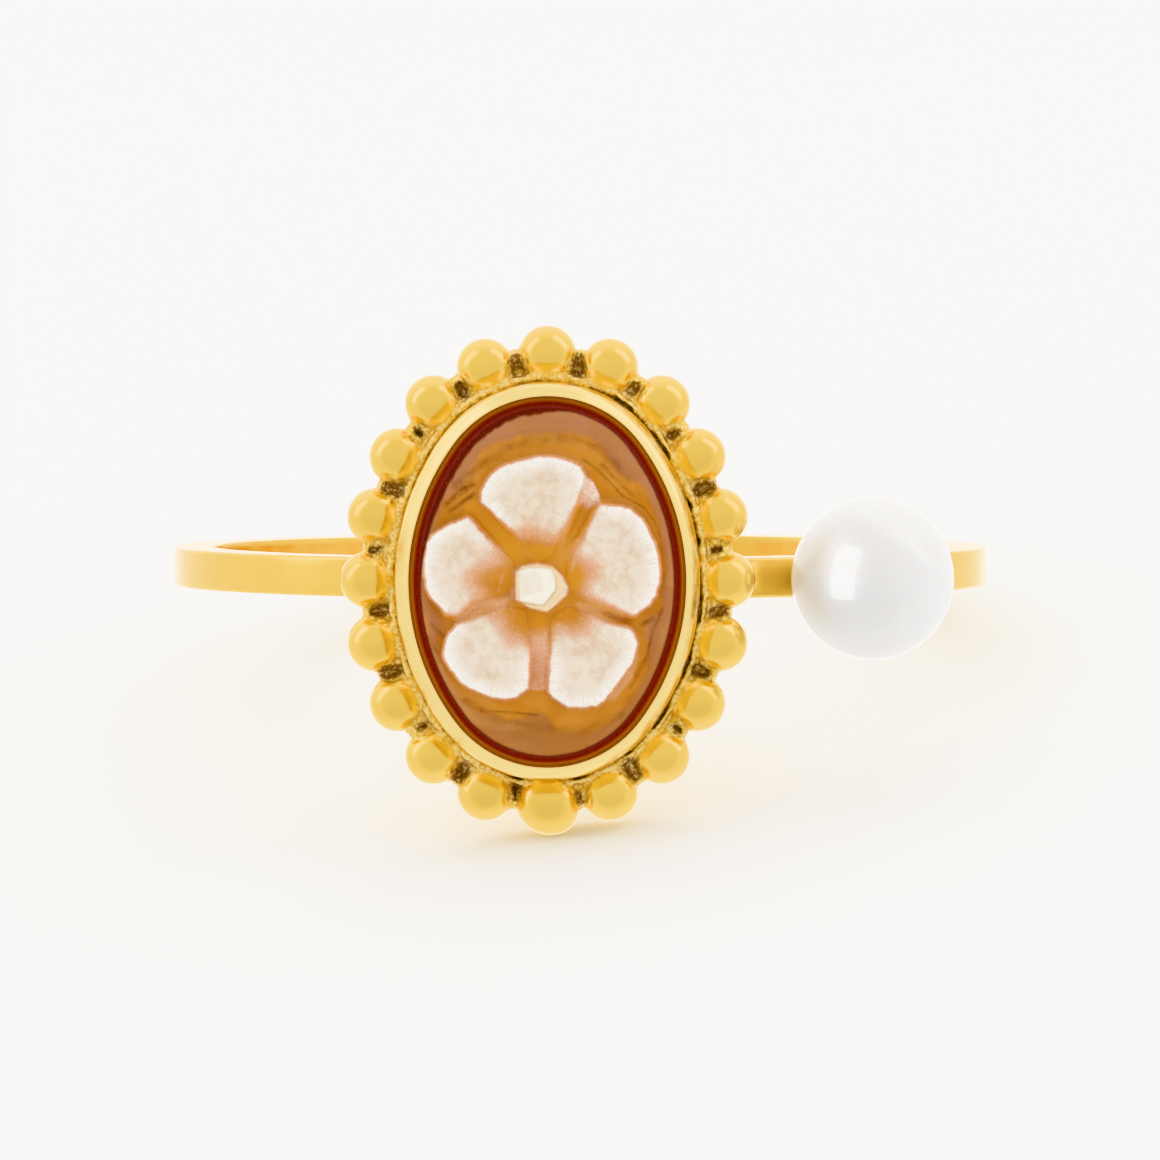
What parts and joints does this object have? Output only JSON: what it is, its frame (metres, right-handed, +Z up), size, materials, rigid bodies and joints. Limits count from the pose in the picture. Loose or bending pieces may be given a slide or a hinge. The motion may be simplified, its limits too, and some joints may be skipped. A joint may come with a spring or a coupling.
{
  "type": "cameo ring",
  "caption": "Gold finger ring with an oval flower cameo in a beaded cup and a round pearl beside it on the band, lying on its side.",
  "frame": {"origin": "on the surface that the ring lies on, below the middle of its bounding box", "axes": "+Z up; the cameo faces -Y and a little upwards, the pearl lies towards +X, and the finger hole's axis leans about 15 degrees from +Z towards +Y"},
  "size_m": [0.0182, 0.0206, 0.0105],
  "materials": {
    "gold": "polished",
    "shell": "gloss",
    "nacre": "gloss"
  },
  "bodies": {
    "root": {"setting": "gold", "cameo": "shell", "pearl": "nacre"}
  },
  "joints": []
}
